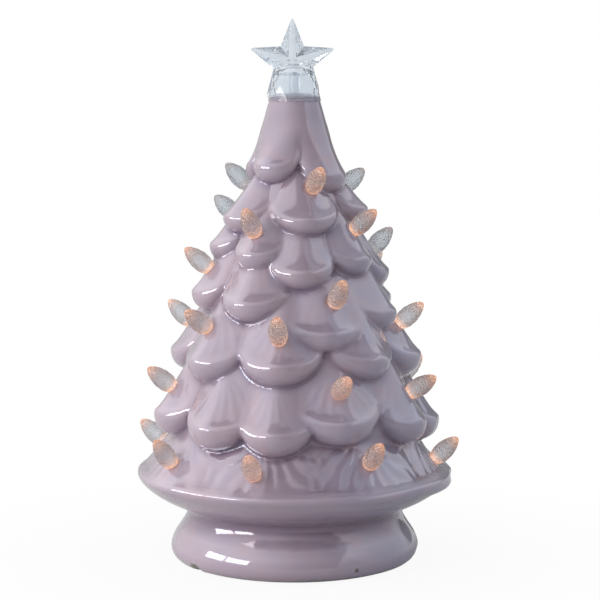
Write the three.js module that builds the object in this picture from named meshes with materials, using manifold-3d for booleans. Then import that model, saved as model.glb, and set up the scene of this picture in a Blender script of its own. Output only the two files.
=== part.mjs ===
// A glazed ceramic christmas tree with peg bulbs, a clear star and a battery light unit in its foot.
// Millimetres, +Z up, origin on the tree's axis at the floor. The front faces -Y.
import * as THREE from 'three';
import { mergeVertices } from 'three/addons/utils/BufferGeometryUtils.js';
import Module from 'manifold-3d';

const wasm = await Module();
wasm.setup();

// Driving dimensions of the casting: outlines are [radius, height] from the foot upwards.
const footOutline = [[74, 0], [78.4, 1.5], [81.4, 4.6], [82.4, 8.5], [81.6, 13], [79, 18.5], [76, 22.8],
  [73.4, 27], [71.9, 30.5], [71.6, 33], [73.2, 35.6], [77.5, 38], [84.5, 41.2], [91.3, 44.8],
  [96.4, 48.2], [100.4, 51.6], [103.2, 54.8], [104.4, 57.8], [103, 60.4], [98, 62.4]];
const capOutline = [[36.4, 254], [34, 260.5], [30.4, 268], [26.4, 276], [21.9, 287], [18.4, 299],
  [17.2, 303]];
const lipOutline = [[96, 98], [84, 139], [72.5, 166], [68.8, 179], [64.4, 192], [57.5, 206], [50, 231],
  [35.4, 258]];
const waistHeight = 36;
const crownHeight = 258;
const domeRise = 5.4;
const wall = 4.6;
const cavityTop = 293;
const footBore = 69.5;
const footBoreHeight = 11.5;
const boreSides = 32;
const hollowRings = 17;
const hollowDomeDrop = 4;

// How the casting's outside is divided: sides round it, rings up the foot, the boughs and the dome.
const ringSides = 64;
const footRings = [0, 1.5, 4.6, 8.5, 13, 19, 26, 33, 38, 44.8, 51.6, 57.8, 61.5];
const boughRings = 35;
const domeRings = 3;

// The boughs, ring by ring. Each has its compass angle from the front in degrees, the height of its
// lip and half its spread in degrees. Where it carries a bulb, the last entry is how the bulb stands:
// its turn from the bough's middle in degrees, its rise above the lip and its tilt up from level.
const capRing = [[-34, 262, 45], [56, 255.5, 50], [146, 260, 47], [-124, 260, 47]];
const crownRing = [
  [12, 229, 44, [8.5, 17.5, 42]], [83, 234, 32], [127, 231, 29, [-9, 13, 37]], [-178, 230, 33],
  [-122, 231, 32, [8, 15.5, 41]], [-62, 229.5, 37],
];
const shoulderRing = [
  [-32, 207, 27, [-0.5, 11, 54]], [6, 196.5, 30], [53, 203, 28, [9, 16, 41]],
  [104, 192, 29, [4.5, 10.7, 45]], [146, 204, 26], [-172, 196, 27, [2, 13.5, 43]],
  [-130, 207, 26, [5, 18.5, 36]], [-84, 210, 28],
];
const chestRing = [
  [-30, 176.5, 29], [20, 158.5, 31, [4.5, 16.5, 50]], [66, 168.5, 27], [116, 174, 27, [9, 14, 42]],
  [155, 160, 27], [-160, 172, 26, [3, 13, 45]], [-121, 163, 26], [-80, 180, 27, [2, 13.4, 41]],
];
const waistRing = [
  [-8, 139.5, 27.5, [0.3, 13.5, 54]], [41, 141.5, 26], [87, 138, 27, [-3, 18.5, 42]], [130, 141, 25],
  [172, 139, 26, [2, 15, 43]], [-145, 140, 26], [-100, 139.5, 28, [-2.3, 15.6, 43]],
  [-51, 139.5, 26, [-3, 18, 37]],
];
const hipRing = [
  [-8.5, 98, 21], [22, 104, 26, [-2, 17, 34]], [61, 99.5, 22, [7, 15, 33]], [90, 95, 19],
  [121, 101, 21, [-3, 14, 42]], [153, 98, 20], [-174, 103, 21, [2, 15, 44]], [-141, 99, 20],
  [-110, 98, 19], [-75, 102, 22, [0.4, 14.9, 39]], [-38, 99.5, 22],
];
const skirtFirstAngle = -13;
const skirtRows = [
  [59, [-2.7, 12, 47]], [58.5, [-0.4, 17, 48]], [55, [8, 11.5, 44]], [57, [-2, 13, 45]],
  [58.5, [3, 12, 47]], [57, [1, 14, 43]], [59, [-2.4, 13.7, 41]], [59.5, [1, 11.7, 53]],
];
const skirtReach = 105.6;

// The modelling of a bough: its top slopes and falls from a soft ridge, flares at the lip, which curves
// up at both ends, and turns over into a round band that tucks in below. Glaze fills the creases.
const boughShape = {
  slope: 0.64, fall: 0.34, fallEasing: 16, smile: 0.29, sideFall: 4.4, underCut: 15, underPower: 2.5,
  band: 8,
};
const shoulderShape = { ...boughShape, slope: 0.68 };
const crownShape = { ...boughShape, slope: 0.8 };
const capShape = { ...boughShape, slope: 0, fall: 0.25, sideFall: 4, band: 10.5 };
const skirtShape = {
  slope: 0.78, fall: 0.07, fallEasing: 60, smile: 0.03, sideFall: 1.2, underCut: 12, underPower: 2.2,
  band: -2.5,
};
const lipFlare = 2.2;
const lipFlareRise = 3.4;
const lipFlareNarrowing = 1.2;
const capFlareShare = 0.4;
const capFadeStart = 264;
const capFadeRise = 24;
const tipInset = 0.6;
const smileNear = 0.4;
const sideFallReach = 80;
const ridgeRound = 5;
const bandRound = 12;
const bandGrowth = 0.085;
const bandThinnest = 0.1;
const bandUndercutSlope = 2;
const glazeFillet = 3;
const trunkDepth = 16;

// The bulbs and their seats.
const bulbLength = 22;
const bulbRadius = 6.3;
const bulbShoulders = [[1, 0.36], [0.92, 0.64], [0.58, 0.88]];
const bulbFootRadius = 4.3;
const bulbPegRadius = 2.3;
const bulbPegLength = 9.5;
const bulbSeatDepth = 1.2;
const bulbHoleDepth = 21;
const bulbSides = 8;

// The gap between pieces that touch or fit, and how far a cutting shape passes the face that it cuts.
const clearance = 0.3;
const overcut = 1;

// The star on the tip. Its bell stands over the tip, and each height is a rise above the piece below.
const bellFootDrop = 0.4;
const bellMiddleRise = 10.4;
const bellTopRise = 12;
const bellCrownRise = 3;
const bellTopRadius = 12;
const bellMiddleRadius = 15.5;
const bellFootRadius = 17.3;
const starWall = 1.6;
const starReach = 28.2;
const starNotch = 12.9;
const starHalfDepth = 8.5;
const starCentreRise = 2.6;
const starTipFlat = 0.6;
const starPoints = 5;
const starPegRadius = 3.4;
const starPegDrop = 6.5;
const starPegSides = 8;
const bellSides = 16;
const domeCutDrop = 12;
const domeCutRings = 4;

// The notch for a lead in the foot.
const notchAngle = -53;
const notchRadius = 5.5;
const notchSpring = 1;
const notchOvershoot = 8;

// The closing plate and what stands on it.
const plateUnderside = 7.2;
const plateThickness = 3;
const beadWidth = 2;
const cellLength = 50;
const cellRadius = 7.1;
const cellPitch = 15;
const cellNub = 1.2;
const cellNubRadius = 2.7;
const cellEdge = 0.6;
const springLength = 4.4;
const springWire = 0.4;
const springTurns = 4;
const springWideRadius = 4.6;
const springNarrowRadius = 2.6;
const contactThickness = 0.6;
const contactWidth = 10;
const contactHeight = 11;
const boxWall = 2;
const apertureMargin = 1;
const doorLap = 3.2;
const doorThickness = 2.1;
const railWidth = 1.8;
const railLip = 1.9;
const railLipThickness = 1.3;
const stopWidth = 24;
const gripCount = 5;
const gripPitch = 3;
const gripWidth = 1.4;
const gripDepth = 0.7;
const gripSpan = 20;
const gripInset = 8;
const fenceWall = 1.4;
const fenceHeight = 3;
const pilotFloor = 0.8;
const pilotSides = 10;
const lugLength = 9;
const lugThickness = 3;
const lugWidth = 10;
const screwTipGap = 1.2;
const screwRadius = 1.25;
const screwHeadRadius = 2.5;
const screwHeadHeight = 1.7;
const switchLength = 13;
const switchWidth = 6.4;
const switchHeight = 5.6;
const switchWall = 0.8;
const switchAway = 44;
const switchTravel = 5;
const leverWidth = 2.2;
const knobLength = 5;
const knobWidth = 4;
const knobHeight = 1.8;
const knobHeadHeight = 1.6;
const knobGripPitch = 1.4;
const knobGripWidth = 0.6;
const knobGripDepth = 0.4;
const boardWidth = 24;
const boardThickness = 1.6;
const boardHeight = 118;
const boardSlotDepth = 7;
const socketWall = 2;
const lampRadius = 2.5;
const lampLength = 7.2;
const lampFlange = 0.4;
const lampFlangeTop = 1.2;
const lampRows = [62, 108];
const lampOffset = 5.5;
const chipSize = [9, 2.4, 6];
const chipRise = 22;
const leadRadius = 0.8;
const leadSpacing = 5;
const leadStart = 5;
const leadLean = 6;
const leadLift = 15;
const leadApproach = 8;
const leadStandOff = 0.1;

const degrees = Math.PI / 180;

// Geometry helpers: closed meshes in, solids through the join and cut library, meshes out.
function toSolid(geometry) {
  const bare = geometry.clone();
  bare.deleteAttribute('normal');
  bare.deleteAttribute('uv');
  const merged = mergeVertices(bare, 1e-4);
  const mesh = new wasm.Mesh({
    numProp: 3,
    vertProperties: new Float32Array(merged.attributes.position.array),
    triVerts: new Uint32Array(merged.index.array),
  });
  return new wasm.Manifold(mesh);
}

function toGeometry(solid) {
  const mesh = solid.getMesh();
  const geometry = new THREE.BufferGeometry();
  geometry.setAttribute('position', new THREE.BufferAttribute(new Float32Array(mesh.vertProperties), 3));
  geometry.setIndex(new THREE.BufferAttribute(new Uint32Array(mesh.triVerts), 1));
  geometry.computeVertexNormals();
  return geometry;
}

function join(...geometries) {
  return toGeometry(geometries.map(toSolid).reduce((all, next) => all.add(next)));
}

function cut(body, ...tools) {
  return toGeometry(tools.map(toSolid).reduce((left, tool) => left.subtract(tool), toSolid(body)));
}

function block(x0, x1, y0, y1, z0, z1) {
  return new THREE.BoxGeometry(x1 - x0, y1 - y0, z1 - z0)
    .translate((x0 + x1) / 2, (y0 + y1) / 2, (z0 + z1) / 2);
}

function post(radius, z0, z1, x = 0, y = 0, sides = 16) {
  return new THREE.CylinderGeometry(radius, radius, z1 - z0, sides)
    .rotateX(90 * degrees)
    .translate(x, y, (z0 + z1) / 2);
}

// A turned solid about Z from [radius, height] points listed upwards, outside surface only.
function turned(outline, sides) {
  const points = outline.map(([r, z]) => new THREE.Vector2(r, z));
  return new THREE.LatheGeometry(points, sides).rotateX(90 * degrees);
}

function roundSection(radius, sides) {
  const turns = Array.from({ length: sides }, (_, k) => k * 360 / sides * degrees);
  const corner = (turn) => new THREE.Vector2(radius * Math.cos(turn), radius * Math.sin(turn));
  return new THREE.Shape(turns.map(corner));
}

// The two ends of a span that lies on one side of the middle, smaller first.
const span = (side, near, far) => [side * near, side * far].sort((p, q) => p - q);

// Outlines are smooth curves through their points, read back as radius at a height.
function smoothOutline(outline) {
  return (height) => {
    const last = outline.length - 1;
    let i = outline.findIndex(([, z]) => z > height) - 1;
    if (height <= outline[0][1]) return outline[0][0];
    if (i < 0) return outline[last][0];
    i = Math.min(i, last - 1);
    const slopeAt = (k) => {
      const [a, b] = [outline[Math.max(k - 1, 0)], outline[Math.min(k + 1, last)]];
      return (b[0] - a[0]) / (b[1] - a[1]);
    };
    const [[r0, z0], [r1, z1]] = [outline[i], outline[i + 1]];
    const step = z1 - z0;
    const t = (height - z0) / step;
    return r0 * (1 + 2 * t) * (1 - t) ** 2 + slopeAt(i) * step * t * (1 - t) ** 2
      + r1 * t * t * (3 - 2 * t) + slopeAt(i + 1) * step * t * t * (t - 1);
  };
}

const footLine = smoothOutline(footOutline);
const capLine = smoothOutline(capOutline);
const lipLine = smoothOutline(lipOutline);
const tipHeight = capOutline[capOutline.length - 1][1];
const footTop = footOutline[footOutline.length - 1][1];
const footWidest = Math.max(...footOutline.filter(([, z]) => z < waistHeight).map(([r]) => r));

function smoothMax(a, b) {
  const near = Math.max(glazeFillet - Math.abs(a - b), 0) / glazeFillet;
  return Math.max(a, b) + near * near * glazeFillet / 4;
}

const grow = (rows, shape, reachAt) => rows.map(([angle, lip, half, bulb]) => (
  { angle, lip, half, bulb, shape, reach: reachAt(lip) - lipFlare }));
const skirtRing = skirtRows.map(([lip, bulb], k) => [skirtFirstAngle + k * 360 / skirtRows.length, lip,
  180 / skirtRows.length, bulb]);
const boughs = [
  ...grow(capRing, capShape, capLine),
  ...grow(crownRing, crownShape, lipLine),
  ...grow(shoulderRing, shoulderShape, lipLine),
  ...[chestRing, waistRing, hipRing].flatMap((rows) => grow(rows, boughShape, lipLine)),
  ...grow(skirtRing, skirtShape, () => skirtReach),
];

function boughRadius({ angle, lip, half, shape, reach }, heading, height) {
  const turn = Math.atan2(Math.sin(heading - angle * degrees), Math.cos(heading - angle * degrees));
  const side = turn / (half * degrees);
  const smile = smileNear * side ** 2 + (1 - smileNear) * Math.min(side ** 4, 4);
  const edge = lip + shape.smile * reach * half * degrees * smile;
  const sideFall = shape.sideFall * Math.sqrt(reach / sideFallReach) * Math.min(side ** 6, 4);
  const flare = lipFlare * Math.exp(-lipFlareNarrowing * side * side);
  const top = (z, rounding) => {
    const line = shape === capShape ? capLine(z) - lipFlare * capFlareShare : reach - shape.slope * (z - lip);
    const ridge = Math.hypot(Math.max(line, 4) * turn, rounding) - rounding;
    const falls = sideFall + shape.fall * shape.fallEasing * Math.tanh(ridge / shape.fallEasing);
    return line - falls;
  };
  const above = top(height, ridgeRound) + flare * Math.exp(Math.min(edge - height, 0) / lipFlareRise);
  const below = Math.max(edge - height, 0);
  const belly = shape === skirtShape ? 1 : Math.sqrt(Math.max(1 - side * side, bandThinnest ** 2));
  const band = (shape.band + bandGrowth * reach) * belly;
  const tuck = 1 - (1 - Math.min(below / band, 1) ** shape.underPower) ** (1 / shape.underPower);
  const under = top(edge, bandRound) + flare - shape.underCut * tuck
    - bandUndercutSlope * Math.max(below - band, 0);
  return -smoothMax(-above, -under);
}

// The outside of the casting: the foot, the boughs and the trunk behind them, with glaze in the creases.
// The cap's lobes fade into a smooth cone towards the tip.
function treeRadius(heading, height) {
  if (height < waistHeight) return footLine(height);
  const trunk = (height < crownHeight ? lipLine(height) : capLine(height)) - trunkDepth;
  const base = height < footTop ? footLine(height) : trunk;
  const relief = boughs.reduce(
    (radius, bough) => smoothMax(radius, boughRadius(bough, heading, height)), base);
  const fade = Math.min(Math.max((height - capFadeStart) / capFadeRise, 0), 1);
  return relief + (capLine(height) - tipInset - relief) * fade * fade * (3 - 2 * fade);
}

// A closed form from [share, height] rings listed upwards: each ring is drawn at its share of the
// radius that radiusAt gives for a heading and a height.
function formed(rings, sides, radiusAt) {
  const geometry = turned(rings, sides);
  const place = geometry.attributes.position;
  for (let i = 0; i < place.count; i += 1) {
    const [x, y, z] = [place.getX(i), place.getY(i), place.getZ(i)];
    const heading = Math.atan2(x, -y);
    const radius = Math.hypot(x, y) * radiusAt(heading, z);
    place.setXYZ(i, radius * Math.sin(heading), -radius * Math.cos(heading), z);
  }
  return geometry;
}

// The casting's outside is closed at the foot and over the domed tip.
function castingOutside() {
  const heights = [...footRings];
  const first = footRings[footRings.length - 1];
  for (let k = 1; k <= boughRings; k += 1) heights.push(first + (tipHeight - first) * k / boughRings);
  const rings = [[0, heights[0]], ...heights.map((z) => [1, z])];
  for (let k = 1; k < domeRings; k += 1) {
    const lean = k / domeRings * 90 * degrees;
    rings.push([Math.cos(lean), tipHeight + domeRise * Math.sin(lean)]);
  }
  rings.push([0, tipHeight + domeRise]);
  return formed(rings, ringSides, (heading, z) => treeRadius(heading, Math.min(z, tipHeight)));
}

// The slip-cast hollow keeps a wall's thickness inside the lowest place of the relief around each point.
function hollowRadius(heading, height, step) {
  if (height <= footBoreHeight) return footBore;
  const lifts = [-1, -0.5, 0, 0.5, 1].map((share) => height + share * step);
  const turns = [-0.7, -0.35, 0, 0.35, 0.7].map((share) => heading + share * 360 / boreSides * degrees);
  return Math.min(...turns.flatMap((turn) => lifts.map((z) => treeRadius(turn, z)))) - wall;
}

function castingHollow() {
  const heights = footRings.filter((z) => z > footBoreHeight + wall);
  const first = heights[heights.length - 1];
  const step = (cavityTop - hollowDomeDrop - first) / hollowRings;
  for (let k = 1; k <= hollowRings; k += 1) heights.push(first + step * k);
  const rings = [-overcut, footBoreHeight, ...heights].map((z) => [1, z]);
  return formed([[0, -overcut], ...rings, [0, cavityTop]], boreSides,
    (heading, z) => hollowRadius(heading, z, step / 2));
}

// A bulb's frame: origin where its foot stands on the bough, +Z out along the bulb.
function bulbFrame(bough) {
  const [swing, rise, lean] = bough.bulb;
  const height = bough.lip + rise;
  const angle = (bough.angle + swing) * degrees;
  const radius = treeRadius(angle, height) - bulbSeatDepth;
  const tilt = lean * degrees;
  const flat = Math.cos(tilt);
  const out = new THREE.Vector3(Math.sin(angle) * flat, -Math.cos(angle) * flat, Math.sin(tilt));
  const turn = new THREE.Quaternion().setFromUnitVectors(new THREE.Vector3(0, 0, 1), out);
  const place = new THREE.Vector3(radius * Math.sin(angle), -radius * Math.cos(angle), height);
  return new THREE.Matrix4().compose(place, turn, new THREE.Vector3(1, 1, 1));
}

const bulbFrames = boughs.filter((bough) => bough.bulb).map(bulbFrame);

// A peg bulb: a peg through the wall, a foot on the seat and a plump drop with a rounded tip.
function bulb() {
  const shoulders = bulbShoulders.map(([out, up]) => [bulbRadius * out, bulbLength * up]);
  return turned([[0, clearance - bulbPegLength], [bulbPegRadius, clearance - bulbPegLength],
    [bulbPegRadius, clearance], [bulbFootRadius, clearance], ...shoulders, [0, bulbLength]], bulbSides);
}

function bulbSeat() {
  const pocket = bulbRadius + clearance;
  return join(post(bulbPegRadius + clearance, -bulbHoleDepth, overcut, 0, 0, bulbSides),
    post(pocket, 0, bulbLength, 0, 0, bulbSides));
}

function leadNotch() {
  const arch = new THREE.Shape();
  arch.moveTo(-notchRadius, -overcut);
  arch.lineTo(notchRadius, -overcut);
  arch.lineTo(notchRadius, notchSpring);
  arch.absarc(0, notchSpring, notchRadius, 0, Math.PI, false);
  arch.closePath();
  const depth = footWidest - footBore + 2 * notchOvershoot;
  return new THREE.ExtrudeGeometry(arch, { depth, bevelEnabled: false, curveSegments: 6 })
    .rotateX(90 * degrees)
    .translate(0, notchOvershoot - footBore, 0)
    .rotateZ(notchAngle * degrees);
}

function ceramicTree() {
  const seats = bulbFrames.map((frame) => bulbSeat().applyMatrix4(frame));
  const tipHole = post(starPegRadius + clearance, cavityTop - bellFootRadius, tipHeight + domeRise + overcut);
  return cut(castingOutside(), castingHollow(), tipHole, leadNotch(), ...seats);
}

// The star: a faceted five-point star over a bell that caps the tip, with a peg in the tip's hole.
const bellFoot = tipHeight - bellFootDrop;
const bellMiddle = bellFoot + bellMiddleRise;
const bellTop = bellMiddle + bellTopRise;
const starCentre = bellTop + starCentreRise;

function facetedStar() {
  const corners = [];
  for (let k = 0; k < 2 * starPoints; k += 1) {
    const reach = k % 2 ? starNotch : starReach;
    const angle = (90 + k * 180 / starPoints) * degrees;
    corners.push(new THREE.Vector2(reach * Math.cos(angle), reach * Math.sin(angle)));
  }
  const points = [];
  const faces = [];
  const half = starTipFlat / 2;
  for (const y of [-half, half]) for (const c of corners) points.push(c.x, y, c.y);
  const round = corners.length;
  const [front, back] = [2 * round, 2 * round + 1];
  points.push(0, -starHalfDepth, 0, 0, starHalfDepth, 0);
  for (let k = 0; k < round; k += 1) {
    const next = (k + 1) % round;
    faces.push(front, k, next, back, next + round, k + round);
    faces.push(k, next + round, next, k, k + round, next + round);
  }
  const geometry = new THREE.BufferGeometry();
  geometry.setAttribute('position', new THREE.Float32BufferAttribute(points, 3));
  geometry.setIndex(faces);
  return geometry.translate(0, 0, starCentre);
}

function domeCut() {
  const low = tipHeight - domeCutDrop;
  const outline = [[0, low - domeCutDrop], [capLine(low) + clearance, low]];
  const [reach, rise] = [capLine(tipHeight) + clearance, domeRise + clearance];
  for (let k = 0; k < domeCutRings; k += 1) {
    const lean = k / domeCutRings * 90 * degrees;
    outline.push([reach * Math.cos(lean), tipHeight + rise * Math.sin(lean)]);
  }
  outline.push([0, tipHeight + rise]);
  return turned(outline, bellSides);
}

function starTopper() {
  const bell = turned([[0, bellFoot], [bellFootRadius, bellFoot], [bellMiddleRadius, bellMiddle],
    [bellTopRadius, bellTop], [0, bellTop + bellCrownRise]], bellSides);
  const ceiling = bellTop - bellCrownRise;
  const hollow = turned([[0, bellFoot - overcut], [bellFootRadius - starWall, bellFoot - overcut],
    [bellMiddleRadius - starWall, bellMiddle], [bellTopRadius - starWall, ceiling - overcut],
    [0, ceiling]], bellSides);
  const peg = post(starPegRadius, tipHeight - starPegDrop, bellTop - overcut, 0, 0, starPegSides);
  return join(cut(join(facetedStar(), bell), hollow, domeCut()), peg);
}

// The light unit. Heights and spans follow the plate, the cells and the box around them.
const plateTop = plateUnderside + plateThickness;
const plateRadius = footBore - beadWidth - 2 * clearance;
const doorTop = plateUnderside - clearance;
const doorFoot = doorTop - doorThickness;
const cellFoot = doorTop + clearance;
const cellAxis = cellFoot + cellRadius;
const traySpan = cellLength + springLength + contactThickness + 3 * clearance;
const trayWidth = 2 * cellPitch + 2 * cellRadius + 2 * clearance;
const trayHalfX = traySpan / 2;
const trayHalfY = trayWidth / 2;
const trayCeiling = cellAxis + cellRadius + clearance;
const boxHalfX = trayHalfX + boxWall;
const boxHalfY = trayHalfY + boxWall;
const boxFoot = plateTop + clearance;
const boxTop = trayCeiling + boxWall;
const lugX = boxHalfX + lugLength / 2;
const doorHalfX = trayHalfX + apertureMargin + doorLap;
const doorHalfY = trayHalfY + apertureMargin + doorLap;
const railInside = doorHalfY + clearance;
const lipTop = doorFoot - clearance;
const lipFoot = lipTop - railLipThickness;

function bottomPlate() {
  const disc = post(plateRadius, plateUnderside, plateTop, 0, 0, boreSides);
  const rails = [-1, 1].map((side) => {
    const [a, b] = span(side, railInside, railInside + railWidth);
    const [c, d] = span(side, railInside - railLip, railInside + railWidth);
    return join(block(-doorHalfX, doorHalfX, a, b, lipFoot, plateUnderside + overcut),
      block(-doorHalfX, doorHalfX, c, d, lipFoot, lipTop));
  });
  const stopX = -doorHalfX - clearance;
  const stop = block(stopX - railWidth, stopX, -stopWidth / 2, stopWidth / 2, doorFoot,
    plateUnderside + overcut);
  const [pocketX, pocketY] = [switchLength / 2 + clearance, switchWidth / 2 + clearance];
  const [fenceX, fenceY] = [pocketX + fenceWall, pocketY + fenceWall];
  const fence = cut(
    block(-fenceX, fenceX, switchAway - fenceY, switchAway + fenceY, plateTop - overcut,
      plateTop + fenceHeight),
    block(-pocketX, pocketX, switchAway - pocketY, switchAway + pocketY, plateTop - 2 * overcut,
      plateTop + fenceHeight + overcut),
  );
  const [apertureX, apertureY] = [trayHalfX + apertureMargin, trayHalfY + apertureMargin];
  const aperture = block(-apertureX, apertureX, -apertureY, apertureY, plateUnderside - overcut,
    plateTop + overcut);
  const slotX = leverWidth / 2 + switchTravel / 2 + clearance;
  const slotY = leverWidth / 2 + clearance;
  const slot = block(-slotX, slotX, switchAway - slotY, switchAway + slotY, plateUnderside - overcut,
    plateTop + clearance);
  const pilots = [-1, 1].map((side) => post(screwRadius + clearance, plateUnderside + pilotFloor,
    plateTop + overcut, side * lugX, 0, pilotSides));
  return cut(join(disc, ...rails, stop, fence), aperture, slot, ...pilots);
}

function plateBead() {
  const inside = plateRadius + clearance;
  const outside = inside + beadWidth;
  return turned([[inside, plateUnderside], [outside, plateUnderside], [outside, plateTop],
    [inside, plateTop], [inside, plateUnderside]], boreSides);
}

function batteryDoor() {
  const panel = block(-doorHalfX, doorHalfX, -doorHalfY, doorHalfY, doorFoot, doorTop);
  const grooves = Array.from({ length: gripCount }, (_, k) => {
    const start = gripInset - doorHalfX + k * gripPitch;
    return block(start, start + gripWidth, -gripSpan / 2, gripSpan / 2, doorFoot - overcut,
      doorFoot + gripDepth);
  });
  return cut(panel, ...grooves);
}

function batteryBox() {
  const shell = block(-boxHalfX, boxHalfX, -boxHalfY, boxHalfY, boxFoot, boxTop);
  const lugs = [-1, 1].map((side) => {
    const [a, b] = span(side, boxHalfX - overcut, boxHalfX + lugLength);
    return block(a, b, -lugWidth / 2, lugWidth / 2, boxFoot, boxFoot + lugThickness);
  });
  const [slotX, slotY] = [boardWidth / 2 + clearance, boardThickness / 2 + clearance];
  const [socketX, socketY] = [slotX + socketWall, slotY + socketWall];
  const socket = block(-socketX, socketX, -socketY, socketY, boxTop - overcut, boxTop + boardSlotDepth);
  const hollow = block(-trayHalfX, trayHalfX, -trayHalfY, trayHalfY, boxFoot - overcut, trayCeiling);
  const slot = block(-slotX, slotX, -slotY, slotY, boxTop, boxTop + boardSlotDepth + overcut);
  const holes = [-1, 1].map((side) => post(screwRadius + clearance, boxFoot - overcut,
    boxFoot + lugThickness + overcut, side * lugX, 0, pilotSides));
  return cut(join(shell, ...lugs, socket), hollow, slot, ...holes);
}

// A screw with a domed head that stands on its seat at the origin.
function panScrew() {
  const shank = boxFoot + lugThickness - plateUnderside - screwTipGap;
  const domed = 0.6;
  return turned([[0, clearance - shank], [screwRadius, clearance - shank], [screwRadius, clearance],
    [screwHeadRadius, clearance], [screwHeadRadius, screwHeadHeight * domed],
    [screwHeadRadius * domed, screwHeadHeight], [0, screwHeadHeight]], 8);
}

// A cell along X with its button towards +X, centred at the origin.
function cell() {
  const half = cellLength / 2;
  const shoulder = half - cellNub;
  const flat = cellRadius - cellEdge;
  const outline = [[0, -half], [flat, -half], [cellRadius, cellEdge - half],
    [cellRadius, shoulder - cellEdge], [flat, shoulder], [cellNubRadius, shoulder], [cellNubRadius, half],
    [0, half]];
  return new THREE.LatheGeometry(outline.map(([r, x]) => new THREE.Vector2(r, x)), 16).rotateZ(-90 * degrees);
}

// A coil spring along X that narrows towards the cell, with its wide end at the origin.
function contactSpring() {
  class Coil extends THREE.Curve {
    getPoint(t, target = new THREE.Vector3()) {
      const radius = THREE.MathUtils.lerp(springWideRadius, springNarrowRadius, t);
      const turn = t * springTurns * 2 * Math.PI;
      const along = springWire + t * (springLength - 2 * springWire);
      return target.set(along, radius * Math.cos(turn), radius * Math.sin(turn));
    }
  }
  return new THREE.ExtrudeGeometry(roundSection(springWire, 5), {
    steps: springTurns * 8, extrudePath: new Coil(), bevelEnabled: false,
  });
}

function contactPlate() {
  const [halfY, halfZ] = [contactWidth / 2, contactHeight / 2];
  return block(0, contactThickness, -halfY, halfY, -halfZ, halfZ);
}

const switchFoot = plateTop + clearance;
const switchTop = switchFoot + switchHeight;
const knobTop = plateUnderside - clearance;
const headFoot = switchFoot + switchWall + clearance;
const headTop = headFoot + knobHeadHeight;

function switchHousing() {
  const around = (x, y, z0, z1) => block(-x, x, switchAway - y, switchAway + y, z0, z1);
  const reach = switchTravel / 2 + clearance;
  const shell = around(switchLength / 2, switchWidth / 2, switchFoot, switchTop);
  const chamber = around(knobLength / 2 + reach, knobWidth / 2 + clearance, headFoot - clearance,
    headTop + clearance);
  const slot = around(leverWidth / 2 + reach, leverWidth / 2 + clearance, switchFoot - overcut, headFoot);
  return cut(shell, chamber, slot);
}

function switchKnob() {
  const upright = (x, y, z0, z1) => block(-x / 2, x / 2, -y / 2, y / 2, z0, z1);
  const knobFoot = knobTop - knobHeight;
  const lever = upright(leverWidth, leverWidth, knobTop - clearance, headFoot + clearance);
  const head = upright(knobLength, knobWidth, headFoot, headTop);
  const tab = upright(knobLength, knobWidth, knobFoot, knobTop);
  const grips = [-1, 0, 1].map((k) => upright(knobGripWidth, 2 * knobWidth, knobFoot - overcut,
    knobFoot + knobGripDepth).translate(k * knobGripPitch, 0, 0));
  return cut(join(lever, head, tab), ...grips).translate(0, switchAway, 0);
}

const boardFoot = boxTop + clearance;
const boardTop = boardFoot + boardHeight;
const boardFace = boardThickness / 2;

function lightBoard() {
  return block(-boardWidth / 2, boardWidth / 2, -boardFace, boardFace, boardFoot, boardTop);
}

// A lamp with a domed lens that points along +Z from its foot at the origin.
function lamp() {
  const flange = lampRadius + lampFlange;
  const bend = 0.7;
  return turned([[0, clearance], [flange, clearance], [flange, lampFlangeTop], [lampRadius, lampFlangeTop],
    [lampRadius, lampLength - lampRadius], [lampRadius * bend, lampLength - lampRadius * (1 - bend)],
    [0, lampLength]], 8);
}

function timerChip() {
  const [width, depth, height] = chipSize;
  const [back, foot] = [boardFace + clearance, boardFoot + chipRise];
  return block(-width / 2, width / 2, back, back + depth, foot, foot + height);
}

// A lead from the switch up and over to the light board.
function switchLead(x) {
  const landing = boxTop + leadLift;
  const route = new THREE.CatmullRomCurve3([
    [switchAway, switchTop + clearance], [switchAway, switchTop + leadStart],
    [switchAway - leadLean, switchTop + leadLift], [switchAway / 2, landing - overcut],
    [leadApproach, landing], [boardFace + clearance + leadStandOff, landing],
  ].map(([y, z]) => new THREE.Vector3(x, y, z)));
  return new THREE.ExtrudeGeometry(roundSection(leadRadius, 8), {
    steps: 14, extrudePath: route, bevelEnabled: false,
  });
}

// Materials.
function finish(color, roughness, metalness = 0) {
  return new THREE.MeshStandardMaterial({ color, roughness, metalness });
}

const glaze = finish(0xb9aabd, 0.14);
const clearAcrylic = finish(0xd9dde4, 0.08);
const bulbAcrylic = finish(0xf0c7a0, 0.2);
const whitePlastic = finish(0xe6e3df, 0.5);
const blackPlastic = finish(0x2b2b2d, 0.45);
const silicone = finish(0xd8d6d2, 0.6);
const cellWrap = finish(0x5f6e82, 0.35, 0.2);
const nickel = finish(0xb9b9b4, 0.3, 0.9);
const steel = finish(0x9c9c9a, 0.35, 0.9);
const circuitGreen = finish(0x2f6a44, 0.5);
const lampLens = finish(0xffd9a0, 0.15);
const leadRed = finish(0xa8261f, 0.5);

const tree = new THREE.Group();

function named(name, geometry, material, x = 0, y = 0, z = 0) {
  const mesh = new THREE.Mesh(geometry, material.clone());
  mesh.name = name;
  mesh.position.set(x, y, z);
  return mesh;
}

function place(...piece) {
  const mesh = named(...piece);
  tree.add(mesh);
  return mesh;
}

const numbered = (stem, k) => `${stem}_${String(k + 1).padStart(2, '0')}`;

place('ceramic_tree', ceramicTree(), glaze);
bulbFrames.forEach((frame, k) => {
  const mesh = place(numbered('bulb', k), bulb(), bulbAcrylic);
  frame.decompose(mesh.position, mesh.quaternion, mesh.scale);
});
place('star_topper', starTopper(), clearAcrylic);

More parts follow.
